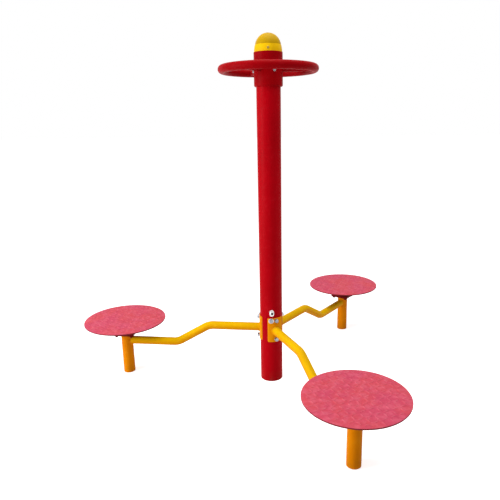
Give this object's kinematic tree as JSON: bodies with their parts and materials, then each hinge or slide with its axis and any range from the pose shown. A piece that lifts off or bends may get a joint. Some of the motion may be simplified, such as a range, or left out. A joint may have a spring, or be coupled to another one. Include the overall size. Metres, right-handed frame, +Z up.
{
  "type": "triple standing twister",
  "caption": "Outdoor standing twister: a fixed post with a grab ring and cranked outrigger legs, each carrying a freely spinning round tread disc.",
  "frame": {"origin": "on the centre post's axis, at ground level", "axes": "+Z up the centre post; the stations stand at 180, 60 and -60 degrees about +Z from +X, so -X points along arm 1"},
  "size_m": [1.604, 1.7868, 1.712],
  "materials": {
    "post_red": "satin powder coat",
    "arm_yellow": "gloss powder coat",
    "cap_yellow": "moulded, semi gloss",
    "dark_red": "satin powder coat",
    "disc_red": "worn anti-slip coat",
    "zinc_steel": "zinc plated",
    "dark_steel": "phosphated",
    "bearing_steel": "ground and polished",
    "seal_rubber": "moulded"
  },
  "bodies": {
    "stand": {"center_post": "post_red", "post_foot_sleeve": "zinc_steel", "top_cap": "cap_yellow", "cap_screws": "zinc_steel", "handle_collar": "post_red", "collar_bolts": "zinc_steel", "handle_ring": "post_red", "handle_spokes": "post_red", "saddle_bolts": "zinc_steel", "saddle_washers": "zinc_steel", "weld_nuts": "zinc_steel", "plug_bolt": "zinc_steel", "plug_washer": "zinc_steel", "housing_bolts": "zinc_steel", "housing_nuts": "zinc_steel", "circlips": "dark_steel", "bearing_outer_races": "bearing_steel", "bearing_cages": "bearing_steel", "bearing_balls": "bearing_steel", "dust_seals": "seal_rubber", "saddle_1": "arm_yellow", "arm_1": "arm_yellow", "leg_1": "arm_yellow", "head_plate_1": "dark_red", "bearing_housing_1": "dark_red", "saddle_2": "arm_yellow", "arm_2": "arm_yellow", "leg_2": "arm_yellow", "head_plate_2": "dark_red", "bearing_housing_2": "dark_red", "saddle_3": "arm_yellow", "arm_3": "arm_yellow", "leg_3": "arm_yellow", "head_plate_3": "dark_red", "bearing_housing_3": "dark_red"},
    "turntable_1": {"tread_disc_1": "disc_red", "disc_pad_1": "dark_red", "spindle_1": "zinc_steel", "bearing_inner_races_1": "bearing_steel", "bearing_spacer_1": "zinc_steel", "lock_washer_1": "zinc_steel", "lock_nut_1": "zinc_steel", "hub_bolts_1": "zinc_steel"},
    "turntable_2": {"tread_disc_2": "disc_red", "disc_pad_2": "dark_red", "spindle_2": "zinc_steel", "bearing_inner_races_2": "bearing_steel", "bearing_spacer_2": "zinc_steel", "lock_washer_2": "zinc_steel", "lock_nut_2": "zinc_steel", "hub_bolts_2": "zinc_steel"},
    "turntable_3": {"tread_disc_3": "disc_red", "disc_pad_3": "dark_red", "spindle_3": "zinc_steel", "bearing_inner_races_3": "bearing_steel", "bearing_spacer_3": "zinc_steel", "lock_washer_3": "zinc_steel", "lock_nut_3": "zinc_steel", "hub_bolts_3": "zinc_steel"}
  },
  "joints": [
    {"name": "turntable_1_spin", "type": "hinge", "parent": "stand", "child": "turntable_1", "pos_m": [-0.788, 0, 0.2575], "axis": [0, 0, 1], "continuous": true},
    {"name": "turntable_2_spin", "type": "hinge", "parent": "stand", "child": "turntable_2", "pos_m": [0.394, 0.68243, 0.2575], "axis": [0, 0, 1], "continuous": true},
    {"name": "turntable_3_spin", "type": "hinge", "parent": "stand", "child": "turntable_3", "pos_m": [0.394, -0.68243, 0.2575], "axis": [0, 0, 1], "continuous": true}
  ]
}
